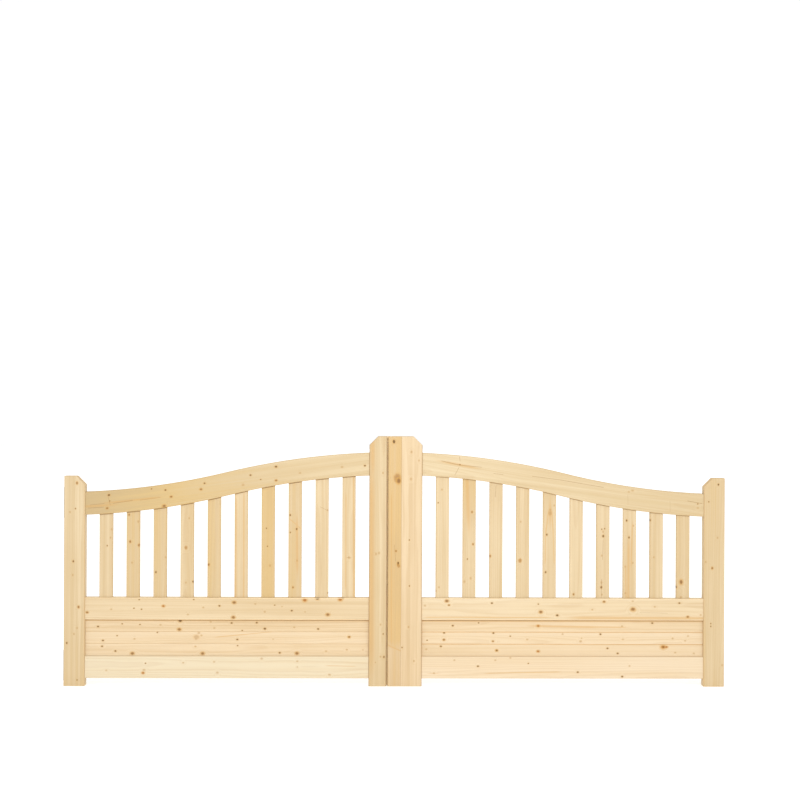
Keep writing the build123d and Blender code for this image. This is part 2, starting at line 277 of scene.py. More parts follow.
# Streaks, drying cracks and the painted shadow lines under the middle rails that show in the picture: from
# pixel to pixel, and half the width in metres
STREAKS = {
    "right_top_rail": {
        RESIN_AND_SHADOW: ((452, 463.6, 467, 466.4, 0.0050),),
        CRACK_AND_SHADOW: (
            (441.8, 461, 459.2, 465, 0.0011), (459.2, 465, 481.6, 467.2, 0.0009),
            (459.6, 457, 460.2, 461, 0.0009), (459, 467.6, 455, 475, 0.0008),
            (494, 473.6, 503, 474.6, 0.0008), (532.7, 476.4, 560, 480, 0.0008),
            (560, 480, 603.4, 487.4, 0.0010), (688, 501, 702, 503.6, 0.0010),
            (628, 495, 628.2, 505, 0.0004), (670.2, 501, 670.4, 512, 0.0004),
        ),
    },
    "left_top_rail": {
        CRACK_AND_SHADOW: (
            (107.6, 495.5, 110, 505, 0.0007), (88, 508.2, 103, 507.2, 0.0010),
            (90, 505.0, 104, 503.6, 0.0007), (113, 503.4, 132, 500.6, 0.0009),
            (140, 500.2, 160, 497.4, 0.0006),
        ),
        RESIN_AND_SHADOW: ((88, 506.4, 104, 505.4, 0.0050), (112, 502.4, 150, 498.4, 0.0040)),
    },
    "left_meeting_stile": {RESIN_AND_SHADOW: ((371.6, 500, 371.2, 640, 0.0130), (372.6, 452, 372.6, 456, 0.0095))},
    "left_panel_board_3": {
        # Painted shadow under the middle rail: a dark line along this board's top, tinted orange
        CRACK_AND_SHADOW: ((84, 620.6, 370, 621.1, 0.0012),),
        RESIN_AND_SHADOW: ((84, 620.9, 370, 621.4, 0.0022),),
    },
    "left_panel_board_2": {RESIN_AND_SHADOW: ((220, 637.2, 244, 635, 0.0022), (244, 635, 269, 632.6, 0.0016))},
    "right_panel_board_3": {
        # Painted shadow under the middle rail: the crack line here and the last resin line run along the
        # board's top
        CRACK_AND_SHADOW: ((420, 621.1, 706, 621.6, 0.0014),),
        RESIN_AND_SHADOW: (
            (541, 626.6, 590, 627.6, 0.0042), (562, 627, 620, 627.8, 0.0026),
            (420, 621.4, 706, 621.9, 0.0036),
        ),
    },
    "left_baluster_08": {RESIN_AND_SHADOW: ((296.8, 530, 297, 562, 0.0050), (291.6, 521, 298, 526.6, 0.0022))},
    "left_baluster_06": {RESIN_AND_SHADOW: ((235.6, 505, 235.2, 596, 0.0036), (243.6, 500, 243.4, 596, 0.0030))},
    "left_baluster_09": {CRACK_AND_SHADOW: ((320, 507, 328, 511, 0.0006),)},
    "left_baluster_10": {
        RESIN_AND_SHADOW: ((353.6, 480, 353.8, 596, 0.0034), (346, 500, 345.6, 585, 0.0024)),
        CRACK_AND_SHADOW: ((346.8, 558, 351, 558.2, 0.0008),),
    },
    "right_baluster_09": {RESIN_AND_SHADOW: ((467.6, 486, 468.4, 512, 0.0080),)},
    "right_baluster_08": {CRACK_AND_SHADOW: ((496.2, 486, 495.6, 497, 0.0008),)},
    "right_baluster_06": {
        RESIN_AND_SHADOW: (
            (550.5, 513, 550.5, 514, 0.0050), (548.4, 515, 546.4, 532, 0.0024),
            (546.0, 532, 545.6, 560, 0.0018), (552.4, 515, 553.4, 530, 0.0024),
            (553.4, 530, 554.4, 560, 0.0018),
        ),
    },
    "right_baluster_04": {CRACK_AND_SHADOW: ((603.6, 540, 603.2, 560, 0.0008), (602, 580, 601.8, 598, 0.0008))},
    "right_baluster_03": {
        RESIN_AND_SHADOW: (
            (629.2, 552, 628.8, 599, 0.0058), (626.2, 572, 626.6, 599, 0.0030),
            (632.8, 530, 631.8, 562, 0.0030),
        ),
    },
    "right_middle_rail": {
        RESIN_AND_SHADOW: ((585, 618.0, 700, 618.4, 0.0058), (430, 617.4, 545, 617.6, 0.0024)),
        CRACK_AND_SHADOW: ((640, 612.6, 668, 613.4, 0.0005),),
    },
    "left_bottom_rail": {RESIN_AND_SHADOW: ((330, 666, 352, 666.4, 0.0016),)},
    "right_bottom_rail": {RESIN_AND_SHADOW: ((490, 673.4, 556, 672.2, 0.0020), (430, 673.6, 438, 673.4, 0.0010))},
    "right_closing_strip": {
        CRACK_AND_SHADOW: ((394.6, 545, 395.4, 561, 0.0007),),
        RESIN_AND_SHADOW: ((391.5, 500, 391.2, 640, 0.0026), (389, 645.6, 400, 650.6, 0.0028)),
    },
}

# How warm each piece's wood is, from 0, pale cream, to 1, tan, or the warmth at pixels along it
WARMTH = {
    "left_hanging_stile": 0.48,
    "right_hanging_stile": 0.48,
    "left_meeting_stile": 0.47,
    "right_meeting_stile": 0.34,
    "right_closing_strip": ((430, 0.70), (520, 0.70), (545, 0.78), (640, 0.76), (650, 0.52), (690, 0.52)),
    "left_top_rail": ((85, 1.05), (130, 0.92), (190, 0.66), (260, 0.48), (370, 0.40)),
    "right_top_rail": ((420, 0.27), (560, 0.38), (705, 0.46)),
    "left_middle_rail": 0.34,
    "right_middle_rail": 0.26,
    "left_panel_board_3": 0.33,
    "left_panel_board_2": 0.24,
    "left_panel_board_1": 0.25,
    "right_panel_board_3": 0.29,
    "right_panel_board_2": 0.18,
    "right_panel_board_1": 0.25,
    "left_bottom_rail": 0.03,
    "right_bottom_rail": 0.06,
    "left_baluster_01": 0.31,
    "left_baluster_02": 0.58,
    "left_baluster_03": 0.57,
    "left_baluster_04": 0.48,
    "left_baluster_05": 0.52,
    "left_baluster_06": 0.38,
    "left_baluster_07": 0.76,
    "left_baluster_08": 0.52,
    "left_baluster_09": 0.36,
    "left_baluster_10": 0.38,
    "right_baluster_10": 0.36,
    "right_baluster_09": ((485, 0.62), (530, 0.40), (600, 0.36)),
    "right_baluster_08": 0.44,
    "right_baluster_07": 0.44,
    "right_baluster_06": ((490, 0.55), (530, 0.44), (600, 0.42)),
    "right_baluster_05": 0.39,
    "right_baluster_04": 0.40,
    "right_baluster_03": 0.41,
    "right_baluster_02": 0.46,
    "right_baluster_01": 0.48,
}

# How red each kind of piece is against the usual spruce: the upper pieces are a little greener
REDNESS = {
    "top_rail": 0.955,
    "baluster": 0.970,
    "hanging_stile": 0.970,
    "left_meeting_stile": 0.965,
    "left_bottom_rail": 0.955,
    "middle_rail": 0.980,
}

# Plain wood from pale to tan, as its warmth rises
WOOD_TONES = ("pale", "cream", "straw", "honey", "tan")

# Painted light and shade on the eased edges: the tone, and how much of it, by kind of piece. Darker tones
# paint shade; paler ones paint light over the shade of rail edges and board joints
EDGE_LIGHT_AND_SHADE = {
    # Painted shade: the meeting stiles' side faces in shadow, drawn dark on their arrises
    "meeting_stile": ("brown_knot", 0.6),
    "hanging_stile": ("resin", 0.35),
    "baluster": ("resin", 0.35),
    "top_rail": ("resin", 0.25),
    # Painted shade on the bottom rail's edges; painted light over the shade of the middle rails' edges and
    # the board joints
    "bottom_rail": ("cream", 0.6),
    "rail": ("painted_light", 0.8),
    "left_panel_board": ("painted_light", 0.3),
    "board": ("joint_light", 0.7),
}
# Squareness at which an edge counts as a full arris, and as a flat face
ARRIS_EDGE = (0.78, 0.94)
END_GRAIN_EDGE = (0.75, 0.98)

# Noises drawn out along the grain: fineness along, over and through it, detail, roughness, drift's share
RAGGED = (130, 190, 60, 2.0, 0.5, 0)
SLOW = (0.8, 5, 5, 1.0, 0.4, 1)
WAVER = (4, 18, 18, 2.0, 0.5, 1)
BAND = (0.7, 60, 40, 3.0, 0.6, 1)
PATCH = (2.0, 8, 8, 2.0, 0.5, -1)
FIBRE = (14, 950, 950, 2.0, 0.6, 0)
DRIFT = 20

# Distance of the pith from the middle, in metres: the most aside, and the least and most before or behind
PITH_ASIDE = 0.09
PITH_AWAY = (0.05, 0.16)

# By how many ring widths the rings bend, in slow and quick waves and round a knot, and from where to where
SLOW_BEND = 9
QUICK_BEND = 1.2
KNOT_BEND = 2.4
KNOT_BEND_REACH = (0.5, 4.0)
# Where in a ring its late wood grows, and where it stops
LATE_START = (0.30, 0.86)
LATE_END = (0.9, 1.0)

# How much bands and patches warm the wood, and how dark rings, fibres, streaks and end grain are
BAND_WARMTH = 0.62
PATCH_WARMTH = 0.34
RING_DEPTH = (0.05, 0.22)
FIBRE_DEPTH = 0.30
RESIN_DEPTH = 0.55
RESIN_EDGE = 1.9
END_GRAIN_DEPTH = (0.20, 0.35)
# Depth of the finest relief, in metres, and its strength
RELIEF = (0.0004, 0.6)

# How each kind of knot is drawn, in this order: stain's depth and width in radii, heart's tone and depth
KNOT_TONES = {
    FAINT: (0.26, 1.9, "brown_knot", 0.30),
    ROUND: (0.50, 1.5, "round_knot", 0.92),
    ORANGE: (0.75, 2.4, "orange_knot", 0.85),
    BROWN: (0.70, 2.1, "brown_knot", 0.80),
    DARK: (0.50, 2.3, "knot", 0.92),
}
# A knot is longer along the grain, and its outline is ragged, by these shares of its radius
KNOT_STRETCH = 1.3
KNOT_RAG = 0.55
STAIN_START = 0.7
HEART_EDGE = (0.55, 1.15)

# Pin knots behind: one in each chosen cell of this width in metres, and the share of cells that is chosen
STRAY_SPACING = 0.15
STRAY_SHARE = 0.20
CELL_STRETCH = 0.8
BEHIND_BLUR = 0.002
FAR_AWAY = 50

# Half width of the painted shadow line that the swan neck casts on each baluster's top, in metres
SWAN_NECK_SHADOW = {"left": 0.0034, "right": 0.0020}
BALUSTER_ARRIS = 0.002
# Where a thin dark line fades, in its half widths, and how ragged and how dark each kind is: cracks, with
# the painted shadow under the middle rails, then the painted shadow under the swan neck
LINE_EDGE = (0.3, 1.3)
CRACK_AND_SHADOW_LOOK = (0.6, 0.8)
SWAN_NECK_SHADOW_LOOK = (0.4, 0.85)

# The rebate in the left meeting stile, behind the closing strip's lip, which takes painted light over the
# shade of its deep gap
MEETING_GAP = 0.006
REBATE_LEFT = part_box("right_closing_strip")[0].x - MEETING_GAP
REBATE_FLOOR = GATE_FRONT + 0.021
REBATE_BLUR = 0.001
SIDE_BLUR = 0.0015

# Zinc crystals and clouds a metre, and the relief's depth and strength
SPANGLES = 260.0
ZINC_CLOUDS = 30.0
ZINC_RELIEF = (0.0002, 0.4)

# How a copied mesh is cleaned and its edges eased
WELD_DISTANCE = 1e-6
FLAT_ANGLE = math.radians(0.2)
SHARP_ANGLE = math.radians(28)
EASING_STEPS = 3

# Coach screws: places along the strap from its eye and its tip, in metres, and their shapes
SCREWS_PER_STRAP = 4
FIRST_SCREW = 0.052
LAST_SCREW = 0.026
WASHER_SIDES = 24
WASHER_ROLL = (0.7, 0.96)
HEAD_SIDES = 6
HEAD_CHAMFER = 0.0012
HEAD_TOP = 0.86

# Share of the swan neck's rise by which its plank leans
PLANK_LEAN = 0.64

# The floor's half width, and the light's size, and its place and aim from the gate's foot, in metres
FLOOR_REACH = 30.0
KEY_SIZE = (4.0, 1.0)
KEY_PLACE = Vector((0.1, -3.6, 3.2))
KEY_AIM = Vector((0, 0, 0.5))
FLOOR_GLOW = 0.3
WHITE = (1.0, 1.0, 1.0)

# The gate's directions: up, along it, and from its front to its back
UP = Vector((0, 0, 1))
LEVEL = Vector((1, 0, 0))
INWARD = Vector((0, 1, 0))

SIDES = ("left", "right")
LEVELS = ("lower", "upper")
BALUSTERS = 10
BOARDS = 3


class TimberSettings(PropertyGroup):
    """Sizes and colours of the planed softwood."""

    pale: FloatVectorProperty(
        name="Pale", description="Palest early wood", subtype="COLOR", default=(0.725, 0.595, 0.420))
    # Also the painted shade on the bottom rail's edges
    cream: FloatVectorProperty(
        name="Cream", description="Usual early wood", subtype="COLOR", default=(0.690, 0.538, 0.342))
    straw: FloatVectorProperty(
        name="Straw", description="Warmer wood", subtype="COLOR", default=(0.598, 0.440, 0.250))
    honey: FloatVectorProperty(
        name="Honey", description="Yellow heartwood", subtype="COLOR", default=(0.600, 0.412, 0.184))
    late_wood: FloatVectorProperty(
        name="Late wood", description="Thin darker line of each growth ring", subtype="COLOR",
        default=(0.455, 0.275, 0.115))
    # Also the painted shade on the edges of stiles, balusters and top rails, and the tint of the painted
    # shadow under the middle rails
    resin: FloatVectorProperty(
        name="Resin", description="Orange streaks along the grain", subtype="COLOR",
        default=(0.56, 0.315, 0.095))
    knot: FloatVectorProperty(
        name="Knot", description="Heart of a dead knot", subtype="COLOR", default=(0.135, 0.064, 0.010))
    # Also the colour of the cracks, of the painted shadow lines under the rails, and of the painted shade
    # on the meeting stiles' edges
    brown_knot: FloatVectorProperty(
        name="Brown knot", description="Heart of a live knot", subtype="COLOR",
        default=(0.262, 0.122, 0.034))
    round_knot: FloatVectorProperty(
        name="Round knot", description="Ringed heart of a large live knot", subtype="COLOR",
        default=(0.345, 0.190, 0.078))
    orange_knot: FloatVectorProperty(
        name="Orange knot", description="Heart of a resin-filled live knot", subtype="COLOR",
        default=(0.360, 0.120, 0.014))
    knot_halo: FloatVectorProperty(
        name="Knot halo", description="Stained wood round a knot", subtype="COLOR",
        default=(0.530, 0.285, 0.060))
    # Painted light over the shade in the boards' joints
    joint_light: FloatVectorProperty(
        name="Golden", description="Sanded arrises of the boards", subtype="COLOR",
        default=(0.72, 0.43, 0.15))
    # Painted light over the shade along the middle rails' edges, in the left boards' joints and in the
    # rebate
    painted_light: FloatVectorProperty(
        name="Fresh", description="Wood in the rebate, which light hasn't yellowed", subtype="COLOR",
        default=(0.90, 0.70, 0.42))
    tan: FloatVectorProperty(
        name="Tan", description="Darkest plain wood", subtype="COLOR", default=(0.520, 0.366, 0.184))
    ring_width: FloatProperty(
        name="Ring width", description="Distance from one growth ring to the next", unit="LENGTH",
        default=0.0038, min=0.001)
    easing: FloatProperty(
        name="Easing", description="Roundness of a sanded edge", unit="LENGTH", default=0.0012, min=0.0)
    roughness: FloatProperty(
        name="Roughness", description="Dullness of the planed face", default=0.55, min=0.0, max=1.0)


class IronmongerySettings(PropertyGroup):
    """Sizes and colours of the zinc plated hinges."""

    zinc: FloatVectorProperty(
        name="Zinc", description="Plated steel", subtype="COLOR", default=(0.47, 0.48, 0.49))
    strap_thickness: FloatProperty(
        name="Strap thickness", description="Thickness of a hinge strap", unit="LENGTH",
        default=0.005, min=0.002)
    head_width: FloatProperty(
        name="Screw head", description="Width across the flats of a coach screw head", unit="LENGTH",
        default=0.013, min=0.004)
    head_height: FloatProperty(
        name="Head height", description="Height of a coach screw head", unit="LENGTH",
        default=0.0055, min=0.001)
    washer_radius: FloatProperty(
        name="Washer", description="Radius of the washer under a screw head", unit="LENGTH",
        default=0.0105, min=0.004)
    washer_height: FloatProperty(
        name="Washer thickness", description="Thickness of the washer", unit="LENGTH",
        default=0.0015, min=0.0005)
    edge_roll: FloatProperty(
        name="Edge roll", description="Roundness of a pressed steel edge", unit="LENGTH",
        default=0.0006, min=0.0)


class StudioSettings(PropertyGroup):
    """Camera and lights."""

    distance: FloatProperty(
        name="Distance", description="Camera to the gate's front face", unit="LENGTH", default=6.2, min=1.0)
    lens: FloatProperty(
        name="Lens", description="Focal length in millimetres", default=61.47, min=10.0)
    height: FloatProperty(
        name="Height", description="Camera above the ground", unit="LENGTH", default=1.3004, min=0.1)
    offset: FloatProperty(
        name="Offset", description="Camera to the right of the gate's middle", unit="LENGTH",
        default=-0.087)
    turn: FloatProperty(
        name="Turn", description="How far left of square on the camera looks", unit="ROTATION",
        default=math.radians(-0.96))
    lean: FloatProperty(
        name="Lean", description="How far the camera leans over to its left", unit="ROTATION",
        default=math.radians(0.26))
    key_power: FloatProperty(
        name="Key power", description="Power of the front light", default=66.0, min=0.0)
    sky: FloatProperty(
        name="Sky", description="Strength of the white surroundings", default=1.01, min=0.0)


class Shade:
    """One number that varies over a surface; arithmetic on it adds Math nodes."""

    def __init__(self, tree, socket):
        self.tree = tree
        self.socket = socket

    def _math(self, operation, first, second=None):
        values = [first] if second is None else [first, second]
        node = self.tree.node("ShaderNodeMath", {"operation": operation}, dict(enumerate(values)))
        return Shade(self.tree, node.outputs[0])

    def __add__(self, other):
        return self._math("ADD", self, other)

    def __radd__(self, other):
        return self._math("ADD", other, self)

    def __sub__(self, other):
        return self._math("SUBTRACT", self, other)

    def __rsub__(self, other):
        return self._math("SUBTRACT", other, self)

    def __mul__(self, other):
        return self._math("MULTIPLY", self, other)

    def __rmul__(self, other):
        return self._math("MULTIPLY", other, self)

    def __truediv__(self, other):
        return self._math("DIVIDE", self, other)

    def __pow__(self, other):
        return self._math("POWER", self, other)

    def root(self):
        return self._math("SQRT", self)

    def size(self):
        return self._math("ABSOLUTE", self)

    def part(self):
        return self._math("FRACT", self)

    def least(self, other):
        return self._math("MINIMUM", self, other)

    def most(self, other):
        return self._math("MAXIMUM", self, other)

    def step(self, low, high):
        """0 below low and 1 above high, with a smooth rise between them."""
        node = self.tree.node(
            "ShaderNodeMapRange", {"interpolation_type": "SMOOTHSTEP"},
            {"Value": self, "From Min": low, "From Max": high})
        return Shade(self.tree, node.outputs["Result"])


class Finish:
    """A material under construction."""

    def __init__(self, name):
        self.material = bpy.data.materials.new(name)
        self.material.use_nodes = True
        self.nodes = self.material.node_tree.nodes
        self.links = self.material.node_tree.links
        self.shader = self.nodes["Principled BSDF"]

    def node(self, kind, settings=None, values=None):
        """Adds a node: its settings come first, then the values or links of its sockets."""
        made = self.nodes.new(kind)
        for key, value in (settings or {}).items():
            if key == "stops":
                self._stops(made.color_ramp, value)
            else:
                setattr(made, key, value)
        for key, value in (values or {}).items():
            self._feed(made.inputs[key], value)
        return made

    def _stops(self, ramp, stops):
        for index, (place, colour) in enumerate(stops):
            stop = ramp.elements[index] if index < 2 else ramp.elements.new(place)
            stop.position = place
            stop.color = (*colour, 1.0)

    def _feed(self, socket, value):
        if isinstance(value, Shade):
            value = value.socket
        if isinstance(value, bpy.types.NodeSocket):
            self.links.new(value, socket)
        elif socket.type == "RGBA" and len(value) == 3:
            socket.default_value = (*value, 1.0)
        else:
            socket.default_value = value

    def feed(self, name, value):
        """Sets or links one of the shader's own sockets."""
        self._feed(self.shader.inputs[name], value)

    def shade(self, socket):
        return Shade(self, socket)

    def along(self, place, direction):
        """How far a place lies along a direction."""
        made = self.node(
            "ShaderNodeVectorMath", {"operation": "DOT_PRODUCT"}, {0: place, 1: tuple(direction)})
        return self.shade(made.outputs["Value"])

    def join(self, x, y, z):
        return self.node("ShaderNodeCombineXYZ", None, {0: x, 1: y, 2: z}).outputs[0]

    def noise(self, place, scale, detail, roughness):
        made = self.node(
            "ShaderNodeTexNoise", {"noise_dimensions": "3D"},
            {"Vector": place, "Scale": scale, "Detail": detail, "Roughness": roughness})
        return self.shade(made.outputs[0])

    def first_channel(self, colour):
        """A colour's first channel, as one number."""
        return self.shade(self.node("ShaderNodeSeparateColor", None, {0: colour}).outputs[0])

    def mix(self, amount, first, second, blend="MIX"):
        """A colour between two colours."""
        made = self.node(
            "ShaderNodeMix", {"data_type": "RGBA", "blend_type": blend},
            {"Factor": amount, 6: first, 7: second})
        return made.outputs[2]

    def bump(self, height, distance, strength):
        made = self.node(
            "ShaderNodeBump", None, {"Height": height, "Distance": distance, "Strength": strength})
        self.feed("Normal", made.outputs[0])


def on_front(pixel_x, pixel_y):
    """The place on the gate's front plane that a pixel of the picture shows; its depth is left at 0."""
    studio = bpy.context.scene.gate_studio
    pixels_per_lens = PICTURE_WIDTH / SENSOR_WIDTH * studio.lens
    right = (pixel_x - PICTURE_WIDTH / 2) / pixels_per_lens
    up = (PICTURE_WIDTH / 2 - pixel_y) / pixels_per_lens
    sight = camera_turn() @ Vector((right, up, -1))
    sight = sight * (studio.distance / sight.y)
    return Vector((MIDDLE_X + studio.offset + sight.x, 0, GROUND + studio.height + sight.z))


def camera_turn():
    """How the camera stands, turned and leaning a little from square on."""
    studio = bpy.context.scene.gate_studio
    return Euler((math.radians(90), -studio.lean, studio.turn)).to_matrix()


def nearest_of(reaches):
    """The least of several distances, or None where there are none."""
    nearest = None
    for reach in reaches:
        nearest = reach if nearest is None else nearest.least(reach)
    return nearest


class Plank(Finish):
    """The finish of one timber piece, which knows where its grain runs."""

    def __init__(self, piece, grain):
        super().__init__(f"spruce_{piece}")
        self.piece = piece
        self.chance = random.Random(piece)
        self.drift = self.chance.uniform(-DRIFT, DRIFT)
        self.grain = grain
        self.across = INWARD.cross(grain)
        spot = self.node("ShaderNodeTexCoord")
        self.place = spot.outputs["Object"]
        self.facing = spot.outputs["Normal"]
        self.run = self.along(self.place, grain)
        self.over = self.along(self.place, self.across)
        self.through = self.along(self.place, INWARD)
        low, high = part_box(piece)
        self.middle = (low + high) / 2
        self.ragged = self.figure(RAGGED) - 0.5
        self.band = self.figure(BAND)
        self.fibre = self.figure(FIBRE)

    def tone(self, name):
        """One of the timber colours of the settings."""
        return tuple(getattr(bpy.context.scene.gate_timber, name))

    def figure(self, noise):
        """A noise drawn out along the grain."""
        run, over, through, detail, roughness, drift = noise
        place = self.join(self.run * run + self.drift * drift, self.over * over, self.through * through)
        return self.noise(place, 1.0, detail, roughness)

    def knots(self):
        """Distance to the nearest knot of each kind, counted in that knot's radii."""
        reaches = {kind: self.knot_reach(kind) for kind in KNOT_TONES}
        reaches[DARK] = self.stray_pins(reaches[DARK])
        return {kind: reach + self.ragged * KNOT_RAG for kind, reach in reaches.items() if reach}

    def knot_reach(self, kind):
        """Distance to the nearest knot that the picture shows, of one kind."""
        reaches = []
        for pixel_x, pixel_y, radius in KNOTS.get(self.piece, {}).get(kind, ()):
            spot = on_front(pixel_x, pixel_y)
            run = (self.run - spot.dot(self.grain)) / (radius * KNOT_STRETCH)
            rise = (self.over - spot.dot(self.across)) / radius
            reaches.append((run ** 2 + rise ** 2).root())
        return nearest_of(reaches)

    def stray_pins(self, nearest):
        """Adds pin knots to the back half, which the picture doesn't show."""
        cells = self.node(
            "ShaderNodeTexVoronoi", {"voronoi_dimensions": "2D", "feature": "F1"},
            {"Vector": self.join(self.run * CELL_STRETCH, self.over, 0.0), "Scale": 1 / STRAY_SPACING,
             "Randomness": 1.0})
        chosen = self.first_channel(cells.outputs["Color"])
        behind = self.through.step(self.middle.y, self.middle.y + BEHIND_BLUR)
        stray = self.shade(cells.outputs["Distance"]) * (STRAY_SPACING / PIN)
        stray = stray + chosen.step(STRAY_SHARE, STRAY_SHARE + 0.02) * FAR_AWAY + (1 - behind) * FAR_AWAY
        return stray if nearest is None else nearest.least(stray)

    def streak_reach(self, kind):
        """Distance to the nearest streak, crack or painted shadow line of one kind, counted in its half
        widths.
        """
        reaches = []
        for from_x, from_y, to_x, to_y, half_width in STREAKS.get(self.piece, {}).get(kind, ()):
            start = on_front(from_x, from_y)
            way = on_front(to_x, to_y) - start
            length = way.length
            way = way / length
            aside, share = self.beside(start, way)
            beyond = (share - share.most(0.0).least(length)) * END_TAPER[kind]
            reaches.append((aside ** 2 + beyond ** 2).root() / half_width)
        return nearest_of(reaches)

    def swan_neck_shadow_reach(self):
        """Distance from a baluster's slanted top, counted in the half widths of the painted shadow that the
        swan neck casts.
        """
        corners = [corner.co for corner in frame["nodes"][self.piece].data.vertices]
        low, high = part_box(self.piece)
        ends = (
            [corner for corner in corners if corner.x < low.x + BALUSTER_ARRIS],
            [corner for corner in corners if corner.x > high.x - BALUSTER_ARRIS],
        )
        left, right = (max(end, key=lambda corner: corner.z) for end in ends)
        way = Vector((right.x - left.x, 0, right.z - left.z)).normalized()
        side = self.piece.split("_")[0]
        return self.beside(left, way)[0].size() / SWAN_NECK_SHADOW[side]

    def beside(self, start, way):
        """Distances on the front from a line, and along it from its start."""
        run = self.run - start.dot(self.grain)
        over = self.over - start.dot(self.across)
        aside = run * way.dot(self.across) - over * way.dot(self.grain)
        share = run * way.dot(self.grain) + over * way.dot(self.across)
        return aside, share

    def warmth(self):
        """How warm the wood is, which changes along some pieces."""
        warmth = WARMTH[self.piece]
        if not isinstance(warmth, tuple):
            return warmth
        axis = UP if self.grain == UP else LEVEL
        low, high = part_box(self.piece)
        start, end = low.dot(axis), high.dot(axis)
        run = (self.along(self.place, axis) - start) / (end - start)
        stops = []
        for pixel, value in warmth:
            share = (on_front(pixel, pixel).dot(axis) - start) / (end - start)
            stops.append((min(max(share, 0.0), 1.0), (value, value, value)))
        return self.shade(self.node("ShaderNodeValToRGB", {"stops": sorted(stops)}, {0: run}).outputs[0])

    def late_wood(self, knots):
        """The darker line of each growth ring, which swirls round the knots."""
        ring_width = bpy.context.scene.gate_timber.ring_width
        swirl = 1 - nearest_of(knots.values()).step(*KNOT_BEND_REACH)
        pith_over = self.middle.dot(self.across) + self.chance.uniform(-PITH_ASIDE, PITH_ASIDE)
        pith_through = self.middle.y + self.chance.choice((-1, 1)) * self.chance.uniform(*PITH_AWAY)
        from_pith = ((self.over - pith_over) ** 2 + (self.through - pith_through) ** 2).root()
        slow = (self.figure(SLOW) - 0.5) * SLOW_BEND
        quick = (self.figure(WAVER) - 0.5) * QUICK_BEND
        turn = (from_pith / ring_width + slow + quick + swirl * KNOT_BEND).part()
        return turn.step(*LATE_START) * (1 - turn.step(*LATE_END))

    def plain_wood(self, late):
        """Bands, patches, rings and fibres of the wood between its knots."""
        patch = self.figure(PATCH)
        warmth = self.warmth() + (self.band - 0.5) * BAND_WARMTH + (patch - 0.5) * PATCH_WARMTH
        last = len(WOOD_TONES) - 1
        stops = [(number / last, self.tone(name)) for number, name in enumerate(WOOD_TONES)]
        tones = self.node("ShaderNodeValToRGB", {"stops": stops}, {0: warmth})
        redness = next((share for word, share in REDNESS.items() if word in self.piece), 1.0)
        colour = self.mix(1.0, tones.outputs[0], (redness, 1.0, 1.0), "MULTIPLY")
        least, more = RING_DEPTH
        colour = self.mix(late * (least + self.band * more), colour, self.tone("late_wood"))
        return self.mix((self.fibre - 0.5).size() * FIBRE_DEPTH, colour, self.tone("late_wood"))

    def resin_and_shadow_streaks(self, colour):
        """Orange streaks along the grain where the picture shows them, and the orange of the painted shadow
        under the middle rails.
        """
        reach = self.streak_reach(RESIN_AND_SHADOW)
        if reach is None:
            return colour
        resin = 1 - (reach + (self.band - 0.5)).step(0.0, RESIN_EDGE)
        return self.mix(resin * RESIN_DEPTH, colour, self.tone("resin"))

    def knotted(self, colour, knots):
        """The knots with the stained wood round them, and where their hard hearts are."""
        hearts = None
        for kind, reach in knots.items():
            stain_depth, stain_width, tone, heart_depth = KNOT_TONES[kind]
            stain = 1 - reach.step(STAIN_START, stain_width)
            colour = self.mix(stain * stain_depth, colour, self.tone("knot_halo"))
            heart = 1 - reach.step(*HEART_EDGE)
            core = self.tone(tone)
            if kind == ROUND:
                growth = (reach * 2.2 + 0.4).part().step(0.15, 0.85)
                core = self.mix(growth * 0.6, core, self.tone("knot_halo"))
            elif kind == BROWN:
                core = self.mix(0.5 - reach.step(0.1, 0.8) * 0.5, core, self.tone("knot"))
            colour = self.mix(heart * heart_depth, colour, core)
            hearts = heart if hearts is None else hearts.most(heart)
        return colour, hearts

    def thin_line(self, colour, reach, rag, depth):
        """A thin brown line: a drying crack, or a painted shadow under a rail."""
        line = 1 - (reach + self.ragged * rag).step(*LINE_EDGE)
        return self.mix(line * depth, colour, self.tone("brown_knot"))

    def arrises(self, colour):
        """Painted light and shade on the eased edges, where the surface turns from one face to the next."""
        level, inward, up = (self.along(self.facing, axis).size() for axis in (LEVEL, INWARD, UP))
        arris = 1 - level.most(inward).most(up).step(*ARRIS_EDGE)
        tones = (tone for word, tone in EDGE_LIGHT_AND_SHADE.items() if word in self.piece)
        name, depth = next(tones, ("resin", 0.0))
        return self.mix(arris * depth, colour, self.tone(name))

    def rebate(self, colour):
        """Painted light in the rebate, behind the closing strip's lip, brightening the shade of the deep
        gap.
        """
        sunk = 1 - self.through.step(REBATE_FLOOR + REBATE_BLUR, REBATE_FLOOR + 2 * REBATE_BLUR)
        sunk = sunk * self.along(self.place, LEVEL).step(REBATE_LEFT - SIDE_BLUR, REBATE_LEFT)
        return self.mix(sunk, colour, self.tone("painted_light"))


